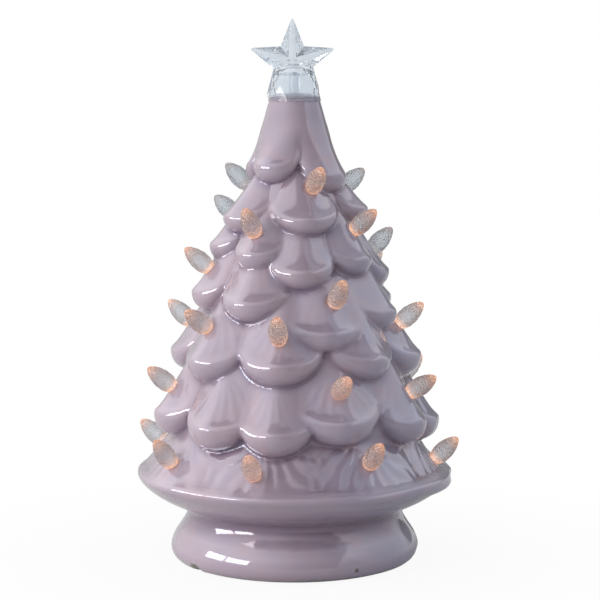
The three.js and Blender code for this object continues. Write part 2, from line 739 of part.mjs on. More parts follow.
place('bottom_plate', bottomPlate(), whitePlastic);
place('plate_bead', plateBead(), silicone);
place('battery_door', batteryDoor(), whitePlastic);
place('battery_box', batteryBox(), whitePlastic);
[-1, 1].forEach((side, k) => {
  place(numbered('box_screw', k), panScrew(), steel, side * lugX, 0, boxFoot + lugThickness);
});

// Neighbouring cells lie head to tail, each between a spring and a flat contact.
[-1, 0, 1].forEach((row, k) => {
  const way = row === 0 ? -1 : 1;
  const y = row * cellPitch;
  const springFoot = -trayHalfX + clearance;
  const cellStart = springFoot + springLength + clearance;
  const contactFoot = trayHalfX - contactThickness - clearance / 2;
  const bay = new THREE.Group();
  bay.position.set(0, y, cellAxis);
  bay.rotation.z = way < 0 ? Math.PI : 0;
  bay.add(
    named(numbered('contact_spring', k), contactSpring(), nickel, springFoot),
    named(numbered('cell', k), cell(), cellWrap, cellStart + cellLength / 2),
    named(numbered('contact_plate', k), contactPlate(), nickel, contactFoot),
  );
  tree.add(bay);
});

place('switch_housing', switchHousing(), blackPlastic);
place('switch_knob', switchKnob(), blackPlastic);
place('light_board', lightBoard(), circuitGreen);
place('timer_chip', timerChip(), blackPlastic);
let lampCount = 0;
for (const rise of lampRows) {
  for (const side of [-1, 1]) {
    const mesh = place(numbered('lamp', lampCount), lamp(), lampLens, side * lampOffset, side * boardFace,
      boxTop + rise);
    mesh.rotation.x = -side * 90 * degrees;
    lampCount += 1;
  }
}
place(numbered('lamp', lampCount), lamp(), lampLens, 0, 0, boardTop);
[-1, 1].forEach((side, k) => {
  place(numbered('switch_lead', k), switchLead(side * leadSpacing / 2), side < 0 ? leadRed : blackPlastic);
});

export default tree;
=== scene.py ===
# %% [markdown]
# A light-up ceramic christmas tree on a white table. The CAD frame is fixed; this file puts the real
# surfaces on it: a glazed relief casting, pebbled peg bulbs, a clear faceted star and the battery unit.

# %% Load the frame
import math

import bmesh
import bpy
import numpy as np
from mathutils import Matrix, Vector


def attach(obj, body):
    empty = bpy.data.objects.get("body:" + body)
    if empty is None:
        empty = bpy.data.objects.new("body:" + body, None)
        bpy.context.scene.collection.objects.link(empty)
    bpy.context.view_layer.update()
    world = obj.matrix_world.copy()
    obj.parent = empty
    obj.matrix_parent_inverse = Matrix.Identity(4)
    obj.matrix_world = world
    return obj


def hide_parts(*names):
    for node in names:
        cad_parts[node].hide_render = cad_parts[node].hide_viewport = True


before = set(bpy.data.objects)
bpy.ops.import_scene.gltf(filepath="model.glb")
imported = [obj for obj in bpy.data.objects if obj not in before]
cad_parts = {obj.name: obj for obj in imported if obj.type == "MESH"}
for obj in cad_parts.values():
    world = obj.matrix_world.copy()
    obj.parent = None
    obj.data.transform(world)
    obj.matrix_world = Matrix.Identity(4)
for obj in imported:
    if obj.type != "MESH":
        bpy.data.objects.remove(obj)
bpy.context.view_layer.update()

MM = 0.001
FULL_TURN = 2 * math.pi

# %% [markdown]
# Helpers. A colour is written as its sRGB hex value and turned to linear once. One function adds a
# shader node with its settings and links. One function turns a finished bmesh into a piece.

# %% Helpers


def linear(colour):
    channels = [int(colour[i:i + 2], 16) / 255 for i in (1, 3, 5)]
    return (*[c / 12.92 if c <= 0.04045 else ((c + 0.055) / 1.055) ** 2.4 for c in channels], 1.0)


def add(tree, kind, settings=None, **inputs):
    node = tree.nodes.new("ShaderNode" + kind)
    for name, value in (settings or {}).items():
        setattr(node, name, value)
    for name, value in inputs.items():
        socket = node.inputs[int(name[1:])] if name[0] == "i" and name[1:].isdigit() else node.inputs[
            name.replace("_", " ")]
        if isinstance(value, bpy.types.NodeSocket):
            tree.links.new(value, socket)
        else:
            socket.default_value = value
    return node


def ramp(tree, factor, stops):
    node = add(tree, "ValToRGB", Fac=factor)
    elements = node.color_ramp.elements
    while len(elements) < len(stops):
        elements.new(0.5)
    for element, (position, colour) in zip(elements, stops):
        element.position = position
        element.color = linear(colour) if isinstance(colour, str) else (colour, colour, colour, 1)
    return node.outputs["Color"]


def new_material(name):
    material = bpy.data.materials.new(name)
    material.use_nodes = True
    material.node_tree.nodes.clear()
    return material, material.node_tree


def close_material(tree, shader):
    add(tree, "OutputMaterial", Surface=shader.outputs[0])


def make_piece(mesh, name, material, body, replaced=()):
    if isinstance(mesh, bmesh.types.BMesh):
        data = bpy.data.meshes.new(name)
        mesh.to_mesh(data)
        mesh.free()
    else:
        data = mesh
    data.materials.clear()
    data.materials.append(material)
    piece = bpy.data.objects.new(name, data)
    bpy.context.scene.collection.objects.link(piece)
    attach(piece, body)
    if replaced:
        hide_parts(*replaced)
    print(name, "faces", len(data.polygons))


def spun(profile, steps, closed=False):
    """A turned shape about Z from [radius, height] points in mm."""
    bm = bmesh.new()
    points = [bm.verts.new((r * MM, 0, z * MM)) for r, z in profile]
    ends = points[1:] + (points[:1] if closed else [])
    edges = [bm.edges.new(pair) for pair in zip(points, ends)]
    bmesh.ops.spin(bm, geom=points + edges, cent=(0, 0, 0), axis=(0, 0, 1), angle=FULL_TURN,
                   steps=steps, use_merge=True)
    bmesh.ops.remove_doubles(bm, verts=bm.verts, dist=1e-6)
    bmesh.ops.recalc_face_normals(bm, faces=bm.faces)
    return bm


# %% [markdown]
# The casting's outline. The foot is round; the tips of the boughs follow one outline up to the dome. Each
# could be a curve object. A few [radius, height] points in mm, read as a smooth curve, are easier to
# measure and to change.

# %% Outlines
FOOT = [[74, 0], [78.4, 1.5], [81.4, 4.6], [82.4, 8.5], [81.6, 13], [79, 18.5], [76, 22.8], [73.4, 27],
        [71.9, 30.5], [71.6, 33], [73.2, 35.6], [77.5, 38], [84.5, 41.2], [91.3, 44.8], [96.4, 48.2],
        [100.4, 51.6], [103.2, 54.8], [104.4, 57.8], [103, 60.4], [98, 62.4]]
CAP = [[36.4, 254], [34, 260.5], [30.4, 268], [26.4, 276], [21.9, 287], [18.4, 299], [17.2, 303]]
LIPS = [[96, 98], [84, 139], [72.5, 166], [68.8, 179], [64.4, 192], [57.5, 206], [50, 231], [35.4, 258]]
WAIST, CROWN, TIP, DOME_RISE = 36, 258, 303, 5.4
FOOT_TOP = FOOT[-1][1]


def smooth_outline(points):
    radii, heights = np.array(points, float).T
    slopes = np.empty_like(radii)
    slopes[1:-1] = (radii[2:] - radii[:-2]) / (heights[2:] - heights[:-2])
    slopes[0] = (radii[1] - radii[0]) / (heights[1] - heights[0])
    slopes[-1] = (radii[-1] - radii[-2]) / (heights[-1] - heights[-2])

    def radius(height):
        z = np.clip(height, heights[0], heights[-1])
        i = np.clip(np.searchsorted(heights, z, side="right") - 1, 0, len(heights) - 2)
        step = heights[i + 1] - heights[i]
        t = (z - heights[i]) / step
        return (radii[i] * (1 + 2 * t) * (1 - t) ** 2 + slopes[i] * step * t * (1 - t) ** 2
                + radii[i + 1] * t * t * (3 - 2 * t) + slopes[i + 1] * step * t * t * (t - 1))

    return radius


foot_line, cap_line, lip_line = map(smooth_outline, (FOOT, CAP, LIPS))
print("outline radii at the table, the waist and the tip",
      *[round(float(line(z)), 1) for line, z in ((foot_line, 0), (foot_line, WAIST), (cap_line, TIP))])

# %% [markdown]
# The boughs, ring by ring from the cap to the skirt: compass angle from the front in degrees, height
# of the lip in mm and half spread in degrees. A fourth entry tells how its bulb stands: turn from the
# bough's middle in degrees, rise above the lip in mm and tilt up from level. Each bough is a gable that
# slopes down to a lip, with a round band under the lip that tucks in towards the trunk. They could be
# sculpted one by one. One formula shapes them all here, so that a change reaches every bough alike.

# %% Boughs
RINGS = {
    "cap": [(-34, 262, 45), (56, 255.5, 50), (146, 260, 47), (-124, 260, 47)],
    "crown": [(12, 229, 44, (8.5, 17.5, 42)), (83, 234, 32), (127, 231, 29, (-9, 13, 37)),
              (-178, 230, 33), (-122, 231, 32, (8, 15.5, 41)), (-62, 229.5, 37)],
    "shoulder": [(-32, 207, 27, (-0.5, 11, 54)), (6, 196.5, 30), (53, 203, 28, (9, 16, 41)),
                 (104, 192, 29, (4.5, 10.7, 45)), (146, 204, 26), (-172, 196, 27, (2, 13.5, 43)),
                 (-130, 207, 26, (5, 18.5, 36)), (-84, 210, 28)],
    "chest": [(-30, 176.5, 29), (20, 158.5, 31, (4.5, 16.5, 50)), (66, 168.5, 27),
              (116, 174, 27, (9, 14, 42)), (155, 160, 27), (-160, 172, 26, (3, 13, 45)),
              (-121, 163, 26), (-80, 180, 27, (2, 13.4, 41))],
    "waist": [(-8, 139.5, 27.5, (0.3, 13.5, 54)), (41, 141.5, 26), (87, 138, 27, (-3, 18.5, 42)),
              (130, 141, 25), (172, 139, 26, (2, 15, 43)), (-145, 140, 26),
              (-100, 139.5, 28, (-2.3, 15.6, 43)), (-51, 139.5, 26, (-3, 18, 37))],
    "hip": [(-8.5, 98, 21), (22, 104, 26, (-2, 17, 34)), (61, 99.5, 22, (7, 15, 33)), (90, 95, 19),
            (121, 101, 21, (-3, 14, 42)), (153, 98, 20), (-174, 103, 21, (2, 15, 44)),
            (-141, 99, 20), (-110, 98, 19), (-75, 102, 22, (0.4, 14.9, 39)), (-38, 99.5, 22)],
    "skirt": [(-13 + 45 * k, lip, 22.5, bulb) for k, (lip, bulb) in enumerate((
        (59, (-2.7, 12, 47)), (58.5, (-0.4, 17, 48)), (55, (8, 11.5, 44)), (57, (-2, 13, 45)),
        (58.5, (3, 12, 47)), (57, (1, 14, 43)), (59, (-2.4, 13.7, 41)), (59.5, (1, 11.7, 53))))],
}
SHAPES = {name: dict(slope=slope, fall=0.41, easing=18, smile=0.29, side_fall=6.6, under=15, power=2.5,
                     band=8, apex=36, groove=depth, spacing=8.5)
          for name, slope, depth in (("cap", 0, 0), ("crown", 0.8, 0), ("shoulder", 0.68, 0.04),
                                     ("chest", 0.64, 0.08), ("waist", 0.64, 0.25), ("hip", 0.64, 0.3))}
SHAPES["cap"].update(band=10.5, fall=0.25, side_fall=4)
SHAPES["skirt"] = dict(slope=0.78, fall=0.07, easing=60, smile=0.03, side_fall=1.2, under=12, power=2.2,
                       band=-2.5, apex=36, groove=0.6, spacing=11.5)
SKIRT_REACH, LIP_FLARE, FLARE_RISE, TRUNK_DEPTH, GLAZE_FILLET = 105.6, 2.2, 3.4, 16, 3.0
RIDGE_ROUND, BAND_ROUND = 5, 12
TIP_INSET, CAP_FADE = 0.6, (264, 288)


def wrapped(angle):
    return np.arctan2(np.sin(angle), np.cos(angle))


def smooth_max(a, b, blend):
    near = np.maximum(blend - np.abs(a - b), 0) / blend
    return np.maximum(a, b) + near * near * blend / 4


def eased(value, low, high):
    t = np.clip((value - low) / (high - low), 0, 1)
    return t * t * (3 - 2 * t)


def bough_relief(ring, bough, heading, height):
    """Radius of one bough's surface, and the phase and strength of its needle grooves."""
    angle, lip, half = bough[:3]
    shape = SHAPES[ring]
    reach = {"cap": cap_line(lip), "skirt": SKIRT_REACH}.get(ring, lip_line(lip)) - LIP_FLARE
    spread = math.radians(half)
    turn = wrapped(heading - math.radians(angle))
    side = turn / spread
    edge = lip + shape["smile"] * reach * spread * (0.4 * side ** 2 + 0.6 * np.minimum(side ** 4, 4))
    side_fall = shape["side_fall"] * math.sqrt(reach / 80) * np.minimum(side ** 6, 4)
    flare = LIP_FLARE * np.exp(-1.2 * side ** 2)

    def top(z, rounding):
        line = cap_line(z) - 0.4 * LIP_FLARE if ring == "cap" else reach - shape["slope"] * (z - lip)
        ridge = np.hypot(np.maximum(line, 4) * turn, rounding) - rounding
        falls = side_fall + shape["fall"] * shape["easing"] * np.tanh(ridge / shape["easing"])
        return line - falls

    above = top(height, RIDGE_ROUND) + flare * np.exp(np.minimum(edge - height, 0) / FLARE_RISE)
    below = np.maximum(edge - height, 0)
    belly = np.sqrt(np.maximum(1 - side ** 2, 0.01)) if ring != "skirt" else 1
    band = (shape["band"] + 0.085 * reach) * belly
    share = np.minimum(below / band, 1)
    tuck = 1 - (1 - share ** shape["power"]) ** (1 / shape["power"])
    under = top(edge, BAND_ROUND) + flare - shape["under"] * tuck - 2 * np.maximum(below - band, 0)
    round_over = 1.5 + 3 * np.minimum(side ** 2, 1)
    radius = -smooth_max(-above, -under, round_over)

    drop = lip + shape["apex"] - height
    across = reach * turn
    away = np.hypot(across, drop)
    phase = np.arctan2(across, np.maximum(drop, 0.1)) * shape["apex"] / shape["spacing"]
    phase = phase + 0.12 * np.sin(away / 4 + angle)
    margin = 0.1 if ring == "skirt" else 0.3
    strength = (shape["groove"] * eased(height - edge, 1.5, 6) * eased(away, 8, 18)
                * eased(1.05 - np.abs(side), 0, margin) * eased(drop, -2, 4))
    return radius, phase, strength


def tree_relief(heading, height):
    """Outside radius of the casting with its groove phase and strength, all in mm."""
    trunk = np.where(height < CROWN, lip_line(height), cap_line(height)) - TRUNK_DEPTH
    radius = np.where(height < FOOT_TOP, foot_line(height), trunk)
    phase, strength = np.zeros_like(radius), np.zeros_like(radius)
    lead = radius.copy()
    for ring, boughs in RINGS.items():
        for bough in boughs:
            r, p, s = bough_relief(ring, bough, heading, height)
            wins = r > lead
            phase, strength = np.where(wins, p, phase), np.where(wins, s, strength)
            strength = strength * eased(np.abs(r - lead), 0, 2.5)
            lead = np.maximum(lead, r)
            radius = smooth_max(radius, r, GLAZE_FILLET)
    radius = radius + (cap_line(height) - TIP_INSET - radius) * eased(height, *CAP_FADE)
    foot = height < WAIST
    return np.where(foot, foot_line(height), radius), phase, np.where(foot, 0, strength)


print("boughs", sum(len(boughs) for boughs in RINGS.values()), "in", len(RINGS), "rings")

# %% [markdown]
# The casting is spun as one closed wall: foot ring, outside, dome, tip hole, slip-cast hollow and bore.
# Outside points are drawn just above a marker radius of 1 m, then each is moved to the relief's radius. A
# wall made by thickening the outside would cross itself in the creases, so the hollow has a profile of
# its own.

# %% Cast the wall
TREE_SIDES = 400
BOUGH_ROWS = 178
MARK = 1000.0
foot_rows = [0, 0.5, 1.5, 3, 4.8, 6.8, 9, 11.5, 14.5, 17.5, 20.5, 23.5, 26.5, 29, 31.2, 33.2, 34.8]
skirt_rows = list(np.arange(WAIST, FOOT_TOP, 1.1))
bough_rows = list(np.linspace(FOOT_TOP, TIP, BOUGH_ROWS))
PEG_HOLE = 3.7
hole_lean = math.acos(PEG_HOLE / cap_line(TIP))
dome_leans = np.linspace(0, hole_lean, 8)[1:]
outside = [[MARK + 1, z] for z in foot_rows + skirt_rows + bough_rows]
outside += [[MARK + math.cos(lean), TIP + DOME_RISE * math.sin(lean)] for lean in dome_leans]
inside = [[PEG_HOLE, 297], [9, 293], [14.5, 286], [27, 250], [33, 240], [40, 215], [48, 185], [56, 160],
          [66, 125], [78, 90], [87, 62], [78, 45], [66.7, 36], [66.7, 15], [69.5, 11.5], [69.5, 0]]
casting = spun(outside + inside, TREE_SIDES, closed=True)

place = np.array([v.co for v in casting.verts]) / MM
heading = np.arctan2(place[:, 0], -place[:, 1])
distance = np.hypot(place[:, 0], place[:, 1])
on_outside = distance > MARK / 2
share = np.where(on_outside, distance - MARK, 0)
grid_headings = np.arange(TREE_SIDES) * FULL_TURN / TREE_SIDES
grid_heights = np.array(foot_rows + skirt_rows + bough_rows)
grid = tree_relief(*np.meshgrid(grid_headings, grid_heights))
column = np.round(heading * TREE_SIDES / FULL_TURN).astype(int) % TREE_SIDES
row = np.clip(np.searchsorted(grid_heights, place[:, 2] - 1e-4), 0, len(grid_heights) - 1)
relief, groove_phase, groove_strength = (values[row, column] for values in grid)
grooved = relief - groove_strength * (0.5 + 0.5 * np.cos(FULL_TURN * groove_phase))
radius = np.where(on_outside, share * grooved, distance)
place[:, 0], place[:, 1] = radius * np.sin(heading), -radius * np.cos(heading)
print("casting vertices", len(place), "widest", round(float(radius.max()), 1))

# %% [markdown]
# Each bulb stands on a bough's ridge above the lip and leans 33 to 54 degrees up from level. The seat is
# a shallow dish pressed into the relief round the bulb's foot, as the potter's punch leaves it. A Boolean
# cut would leave a hard edge; moving the wall's own points keeps the glaze's soft one.

# %% Bulb frames and seats
BULB_LENGTH, SEAT_DEPTH, SEAT_RADIUS = 22, 1.2, 6.5
SEAT_MARGIN, SEAT_EDGE, SEAT_REACH = 0.6, 1.4, 9
bulb_frames = []
for ring, boughs in RINGS.items():
    for bough in boughs:
        if len(bough) < 4:
            continue
        turn, rise, tilt = bough[3]
        angle, tilt = math.radians(bough[0] + turn), math.radians(tilt)
        foot_height = bough[1] + rise
        reach = float(tree_relief(np.array([angle]), np.array([float(foot_height)]))[0][0]) - SEAT_DEPTH
        out = Vector((math.sin(angle), -math.cos(angle), 0))
        axis = out * math.cos(tilt) + Vector((0, 0, math.sin(tilt)))
        bulb_frames.append((out * reach + Vector((0, 0, foot_height)), axis, bough[0], ring))

for foot, axis, _, _ in bulb_frames:
    offset = place - np.array(foot)
    rise = offset @ np.array(axis)
    off_axis = np.linalg.norm(offset - rise[:, None] * np.array(axis), axis=1)
    near = eased(SEAT_RADIUS + SEAT_MARGIN - off_axis, 0, SEAT_EDGE)
    press = near * np.clip(rise, 0, SEAT_REACH) * (rise < SEAT_REACH) * on_outside
    place -= press[:, None] * np.array(axis)

for vertex, point in zip(casting.verts, place):
    vertex.co = point * MM
bmesh.ops.recalc_face_normals(casting, faces=casting.faces)
print("bulbs", len(bulb_frames))

# %% [markdown]
# Glaze runs off the edges and pools in the creases. An attribute keeps how far each point stands above
# or below its surroundings, so that the finish can thin the glaze there and darken the creases, partly as
# pooled glaze and partly as painted shade. A round cutter then takes the notch for a lead out of the foot's
# edge.

# %% Casting attributes and the lead's notch
NOTCH_ANGLE, NOTCH_RADIUS, NOTCH_SPRING = math.radians(-53), 5.5, 1
CUTTER_LENGTH, CUTTER_MIDDLE = 30, 77


def blurred(values):
    """The mean of a grid of values over about 7 mm round each point."""
    rows, columns = 4, 5
    padded = np.pad(values, ((rows, rows), (0, 0)), mode="edge")
    total = sum(np.roll(padded, shift, axis=1) for shift in range(-columns, columns + 1))
    return sum(total[k:k + len(values)] for k in range(2 * rows + 1)) / ((2 * rows + 1) * (2 * columns + 1))


proud = np.where(on_outside, (grid[0] - blurred(grid[0]))[row, column], 0)
casting_mesh = bpy.data.meshes.new("ceramic_tree_glazed")
casting.to_mesh(casting_mesh)
casting.free()
attribute = casting_mesh.attributes.new("proud", "FLOAT", "POINT")
attribute.data.foreach_set("value", proud.astype(np.float32))
casting_mesh.polygons.foreach_set("use_smooth", [True] * len(casting_mesh.polygons))


def notch_cutter():
    bm = bmesh.new()
    bmesh.ops.create_cone(bm, cap_ends=True, segments=40, radius1=NOTCH_RADIUS * MM,
                          radius2=NOTCH_RADIUS * MM, depth=CUTTER_LENGTH * MM)
    bmesh.ops.rotate(bm, verts=bm.verts, cent=(0, 0, 0), matrix=Matrix.Rotation(math.pi / 2, 3, "X"))
    bmesh.ops.translate(bm, verts=bm.verts, vec=(0, -CUTTER_MIDDLE * MM, NOTCH_SPRING * MM))
    bmesh.ops.rotate(bm, verts=bm.verts, cent=(0, 0, 0), matrix=Matrix.Rotation(NOTCH_ANGLE, 3, "Z"))
    data = bpy.data.meshes.new("notch_cutter")
    bm.to_mesh(data)
    bm.free()
    return data


def cut_mesh(mesh, tool, operation="DIFFERENCE"):
    holders = [bpy.data.objects.new("holder", data) for data in (mesh, tool)]
    for holder in holders:
        bpy.context.scene.collection.objects.link(holder)
    modifier = holders[0].modifiers.new("cut", "BOOLEAN")
    modifier.operation, modifier.solver, modifier.object = operation, "EXACT", holders[1]
    result = bpy.data.meshes.new_from_object(
        holders[0].evaluated_get(bpy.context.evaluated_depsgraph_get()))
    for holder in holders:
        bpy.data.objects.remove(holder)
    return result


casting_mesh = cut_mesh(casting_mesh, notch_cutter())
print("casting faces", len(casting_mesh.polygons))

# %% [markdown]
# Pearl lustre glaze: a pale mauve glass over white earthenware with a mother-of-pearl film fired on top.
# The film reflects more than plain glaze does, pinkish where it is thick and blue-lavender where it is
# thin. The creases are darker, partly glaze that pools there and partly painted shade, and the glaze
# thins on the lips. The body colour holds painted light and shade: lighter and pinker on the left, darker
# and bluer on the right. The foot's edge and the notch are wiped bare. Fine orange peel of about 2 mm and
# a single iron speck are left by the firing. All of it could be painted; nodes stay sharp at any size and
# follow the creases by the attribute made above.

# %% Lustre glaze
SPECK_PLACE = (0.0397, -0.0716, 0.0072)
BORE_RADIUS, BORE_TOP = 0.0702, 0.04


def lustre_glaze():
    material, tree = new_material("pearl_lustre_glaze_on_earthenware")
    where = add(tree, "TexCoord").outputs["Object"]
    split = add(tree, "SeparateXYZ", Vector=where)
    clouds = add(tree, "TexNoise", Vector=where, Scale=28.0, Detail=3.0, Roughness=0.55).outputs["Fac"]
    drift = add(tree, "Math", {"operation": "MULTIPLY_ADD"}, i0=clouds, i1=0.5, i2=-0.25).outputs[0]
    # Painted light and shade: the body colour runs lighter and pinker on the left side, towards the softbox,
    # and darker and bluer on the right; the clouds add random tone.
    across = add(tree, "MapRange", Value=split.outputs["X"], From_Min=-0.09, From_Max=0.09).outputs[0]
    painted_side_light_and_drift = add(tree, "Math", {"operation": "ADD", "use_clamp": True}, i0=across, i1=drift).outputs[0]
    body = ramp(tree, painted_side_light_and_drift, [(0.1, "#A998A5"), (0.5, "#9F8F9C"), (0.9, "#928B9E")])
    # Darker in the creases: partly glaze that pools there and partly painted shade.
    proud_value = add(tree, "Attribute", {"attribute_name": "proud"}).outputs["Fac"]
    crease_pooling_and_shade = add(tree, "MapRange", Value=proud_value, From_Min=-2.2, From_Max=0.2, To_Min=0.9,
                 To_Max=0.0).outputs[0]
    thinned = add(tree, "MapRange", Value=proud_value, From_Min=0.8, From_Max=3.0, To_Min=0.0,
                  To_Max=0.35).outputs[0]
    pooled_and_shaded = add(tree, "Mix", {"data_type": "RGBA"}, i0=crease_pooling_and_shade, i6=body, i7=linear("#776276")).outputs[2]
    colour = add(tree, "Mix", {"data_type": "RGBA"}, i0=thinned, i6=pooled_and_shaded, i7=linear("#BFADBB")).outputs[2]

    speck_place = add(tree, "VectorMath", {"operation": "DISTANCE"}, i0=where,
                      i1=SPECK_PLACE).outputs["Value"]
    speck = add(tree, "MapRange", Value=speck_place, From_Min=0.0011, From_Max=0.0019, To_Min=0.9,
                To_Max=0.0).outputs[0]
    colour = add(tree, "Mix", {"data_type": "RGBA"}, i0=speck, i6=colour, i7=linear("#5E4A40")).outputs[2]

    peel = add(tree, "TexNoise", Vector=where, Scale=420.0, Detail=2.0).outputs["Fac"]
    ripple = add(tree, "TexNoise", Vector=where, Scale=90.0, Detail=1.0).outputs["Fac"]
    ripple_bump = add(tree, "Bump", Height=ripple, Distance=0.0004, Strength=0.6).outputs["Normal"]
    normal = add(tree, "Bump", Height=peel, Distance=0.00003, Strength=0.5,
                 Normal=ripple_bump).outputs["Normal"]

    thickness = add(tree, "TexNoise", Vector=where, Scale=55.0, Detail=2.0, Distortion=0.8).outputs["Fac"]
    film = ramp(tree, thickness, [(0.36, "#F6DCE6"), (0.5, "#E6E4F6"), (0.64, "#CFDDFF")])
    glazed = add(tree, "BsdfPrincipled", Base_Color=colour, Roughness=0.1, IOR=1.75, Normal=normal,
                 Specular_Tint=film, Coat_Weight=1.0, Coat_Roughness=0.03, Coat_IOR=1.5)

    turned_back = add(tree, "VectorRotate", {"rotation_type": "Z_AXIS"}, Vector=where, Angle=-NOTCH_ANGLE)
    local = add(tree, "SeparateXYZ", Vector=turned_back.outputs["Vector"])
    rise = add(tree, "Math", {"operation": "SUBTRACT"}, i0=local.outputs["Z"],
               i1=NOTCH_SPRING * MM).outputs[0]
    flat = add(tree, "CombineXYZ", X=local.outputs["X"], Z=rise).outputs["Vector"]
    notch_distance = add(tree, "VectorMath", {"operation": "LENGTH"}, i0=flat).outputs["Value"]
    in_notch = add(tree, "MapRange", Value=notch_distance, From_Min=0.0056, From_Max=0.0061, To_Min=1.0,
                   To_Max=0.0).outputs[0]
    front_side = add(tree, "Math", {"operation": "LESS_THAN"}, i0=local.outputs["Y"], i1=0.0).outputs[0]
    in_notch = add(tree, "Math", {"operation": "MULTIPLY"}, i0=in_notch, i1=front_side).outputs[0]
    ragged = add(tree, "TexNoise", Vector=where, Scale=260.0, Detail=3.0).outputs["Fac"]
    wiped_line = add(tree, "Math", {"operation": "MULTIPLY_ADD"}, i0=ragged, i1=-0.0012,
                     i2=split.outputs["Z"]).outputs[0]
    wiped = add(tree, "MapRange", Value=wiped_line, From_Min=0.0004, From_Max=0.0007, To_Min=1.0,
                To_Max=0.0).outputs[0]
    far_out = add(tree, "VectorMath", {"operation": "LENGTH"},
                  i0=add(tree, "CombineXYZ", X=split.outputs["X"], Y=split.outputs["Y"]).outputs[0])
    inner = add(tree, "Math", {"operation": "LESS_THAN"}, i0=far_out.outputs["Value"],
                i1=BORE_RADIUS).outputs[0]
    low = add(tree, "Math", {"operation": "LESS_THAN"}, i0=split.outputs["Z"], i1=BORE_TOP).outputs[0]
    bore = add(tree, "Math", {"operation": "MULTIPLY"}, i0=inner, i1=low).outputs[0]
    bare = add(tree, "Math", {"operation": "MAXIMUM"}, i0=in_notch, i1=wiped).outputs[0]
    bare = add(tree, "Math", {"operation": "MAXIMUM"}, i0=bare, i1=bore).outputs[0]
    bisque_colour = ramp(tree, ragged, [(0.3, "#C9C4BE"), (0.7, "#DEDAD4")])
    bisque = add(tree, "BsdfPrincipled", Base_Color=bisque_colour, Roughness=0.85)
    close_material(tree, add(tree, "MixShader", i0=bare, i1=glazed.outputs[0], i2=bisque.outputs[0]))
    return material


make_piece(casting_mesh, "ceramic_tree_glazed", lustre_glaze(), "tree", ["ceramic_tree"])

# %% [markdown]
# A peg bulb is one moulding of clear acrylic: a peg, a small foot and a drop covered in diamond pebbles
# that catch the light. Light comes up the peg, so the foot and the tip glow amber and the middle
# stays clear. Each bulb is spun upright, pebbled, and then turned and moved to its seat. The pebbles could
# be bump alone; as moved points they also show in the outline and in the mesh itself.

# %% Bulbs
BULB_STEPS, PEBBLE_ROUND, PEBBLE_PITCH, PEBBLE_HEIGHT = 48, 12, 2.6, 0.2
BULB_PROFILE = [(0, -9.2), (2.0, -9.2), (2.3, -8.9), (2.3, 0.3), (4.1, 0.3), (4.4, 0.6), (4.95, 1.6),
                (5.4, 2.8), (5.75, 4), (5.95, 5.2), (6.1, 6.4), (6.15, 7.6), (6.15, 8.8), (6.1, 10),
                (5.95, 11.2), (5.7, 12.4), (5.4, 13.6), (5.05, 14.8), (4.6, 16), (4.1, 17.2),
                (3.5, 18.4), (2.8, 19.6), (1.95, 20.7), (1.0, 21.5), (0, 21.8)]
DIM_BULBS = {("crown", 127), ("crown", -122), ("shoulder", 104), ("shoulder", -130)}


def bulb_mesh(foot, axis, glow_level):
    bm = spun(BULB_PROFILE, BULB_STEPS)
    along = np.array([v.co.z / MM for v in bm.verts])
    for vertex, z in zip(bm.verts, along):
        round_place = math.atan2(vertex.co.y, vertex.co.x) * PEBBLE_ROUND / 2
        off_axis = math.hypot(vertex.co.x, vertex.co.y)
        climb = math.pi * z / PEBBLE_PITCH
        pebble = abs(math.cos(round_place + climb / 2) * math.cos(round_place - climb / 2))
        gate = min(max((z - 1.5) / 2, 0), 1) * min(max((21 - z) / 3, 0), 1)
        if off_axis > 1e-6:
            vertex.co += vertex.normal * (pebble - 0.5) * gate * PEBBLE_HEIGHT * MM
    bmesh.ops.transform(bm, verts=bm.verts, matrix=Matrix.Translation(foot * MM)
                        @ axis.to_track_quat("Z", "Y").to_matrix().to_4x4())
    for face in bm.faces:
        face.smooth = True
    data = bpy.data.meshes.new("bulb")
    bm.to_mesh(data)
    bm.free()
    for name, values in (("along", along / BULB_LENGTH), ("glow", np.full(len(along), glow_level))):
        attribute = data.attributes.new(name, "FLOAT", "POINT")
        attribute.data.foreach_set("value", values.astype(np.float32))
    return data


def lit_acrylic():
    material, tree = new_material("clear_acrylic_bulb_lit_amber")
    along = add(tree, "Attribute", {"attribute_name": "along"}).outputs["Fac"]
    level = add(tree, "Attribute", {"attribute_name": "glow"}).outputs["Fac"]
    where = add(tree, "TexCoord").outputs["Object"]
    # Painted glints: a fine noise makes the glow uneven and turns it pale peach in small spots.
    painted_glints = add(tree, "TexNoise", Vector=where, Scale=700.0, Detail=2.0).outputs["Fac"]
    grit = add(tree, "TexVoronoi", Vector=where, Scale=750.0).outputs["Distance"]
    normal = add(tree, "Bump", Height=grit, Distance=0.0009, Strength=1.0).outputs["Normal"]
    bands = ramp(tree, along, [(0.0, 1.0), (0.1, 0.7), (0.2, 0.08), (0.6, 0.05), (0.8, 0.28), (0.96, 0.8)])
    uneven = add(tree, "Math", {"operation": "MULTIPLY_ADD"}, i0=painted_glints, i1=3.0, i2=-0.5).outputs[0]
    amount = add(tree, "Math", {"operation": "MULTIPLY"}, i0=bands, i1=uneven).outputs[0]
    amount = add(tree, "Math", {"operation": "MULTIPLY"}, i0=amount, i1=level).outputs[0]
    amount = add(tree, "Math", {"operation": "MULTIPLY"}, i0=amount, i1=0.42).outputs[0]
    light = ramp(tree, painted_glints, [(0.5, "#FFA25A"), (0.66, "#FFC8A2")])
    shader = add(tree, "BsdfPrincipled", Base_Color=linear("#C6CDD4"), Roughness=0.12, IOR=1.4, Normal=normal,
                 Transmission_Weight=0.85, Emission_Color=light, Emission_Strength=amount)
    close_material(tree, shader)
    return material


